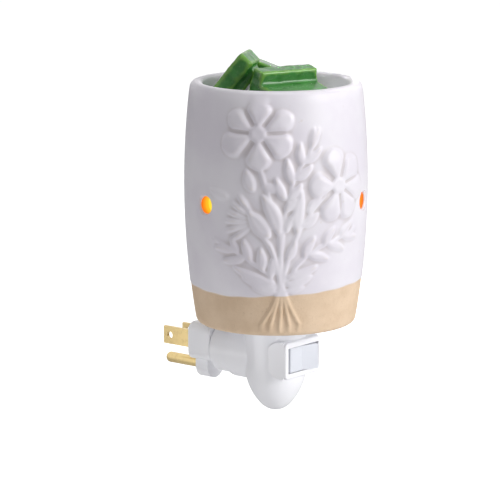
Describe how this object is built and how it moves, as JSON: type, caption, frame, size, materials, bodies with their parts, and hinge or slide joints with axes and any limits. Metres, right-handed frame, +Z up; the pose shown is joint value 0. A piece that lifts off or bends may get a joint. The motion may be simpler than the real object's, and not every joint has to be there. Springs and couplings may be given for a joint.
{
  "type": "wax melt warmer",
  "caption": "Plug-in wax melt warmer: glazed ceramic barrel shade with a melt dish on top, light holes, bulb inside, white base with rocker switch and turning plug.",
  "frame": {"origin": "where the turning axis of the plug meets the face that lies on the outlet", "axes": "+Z up along the shade, +Y into the outlet along the blades, +X to the right for someone facing the wall"},
  "size_m": [0.0795, 0.1034, 0.1571],
  "materials": {
    "glaze": "glossy pale glaze over tan clay, bare clay at the foot",
    "wax": "translucent green wax",
    "white_plastic": "glossy white",
    "black_moulding": "dark heat-resistant moulding",
    "brass": "bare brass",
    "steel": "zinc plated",
    "glass": "clear glass",
    "filament": "tungsten",
    "solder": "tinned",
    "cable": "white sheath",
    "lead_black": "black insulation",
    "lead_white": "white insulation"
  },
  "bodies": {
    "base": {"base_housing": "white_plastic", "base_cover": "white_plastic", "cover_screws": "steel", "socket_body": "black_moulding", "socket_shell": "brass", "socket_contact": "brass", "switch_case": "white_plastic", "switch_terminals": "brass", "supply_cable": "cable", "hot_lead": "lead_black", "switch_lead": "lead_black", "neutral_lead": "lead_white"},
    "plug": {"plug_body": "white_plastic", "hot_blade": "brass", "neutral_blade": "brass", "ground_pin": "brass", "swivel_clip": "steel"},
    "rocker": {"switch_rocker": "white_plastic"},
    "shade": {"ceramic_shade": "glaze"},
    "wax": {"wax_melt_1": "wax", "wax_melt_2": "wax", "wax_melt_3": "wax"},
    "bulb_tip": {"bulb_contact": "solder"},
    "bulb": {"bulb_glass": "glass", "bulb_stem": "glass", "bulb_filament": "filament", "bulb_supports": "steel", "bulb_cap": "brass", "bulb_insulator": "black_moulding"}
  },
  "joints": [
    {"name": "plug_swivel", "type": "hinge", "parent": "base", "child": "plug", "pos_m": [0, 0, 0], "axis": [0, 1, 0], "range_deg": [-90, 90]},
    {"name": "rocker_tilt", "type": "hinge", "parent": "base", "child": "rocker", "pos_m": [0, -0.0529, 0.001], "axis": [0, 0, 1], "range_deg": [0, 20]},
    {"name": "shade_lift", "type": "slide", "parent": "base", "child": "shade", "axis": [0, 0, 1], "range_m": [0, 0.09]},
    {"name": "wax_lift", "type": "slide", "parent": "shade", "child": "wax", "axis": [0, 0, 1], "range_m": [0, 0.04]},
    {"name": "bulb_rise", "type": "slide", "parent": "base", "child": "bulb_tip", "axis": [0, 0, 1], "range_m": [0, 0.009]},
    {"name": "bulb_turn", "type": "hinge", "parent": "bulb_tip", "child": "bulb", "pos_m": [0, -0.041, 0.03], "axis": [0, 0, 1], "range_deg": [0, 1260]}
  ],
  "couplings": [
    {"joint": "bulb_rise", "follows": "bulb_turn", "m_per_rad": 0.00040425}
  ]
}
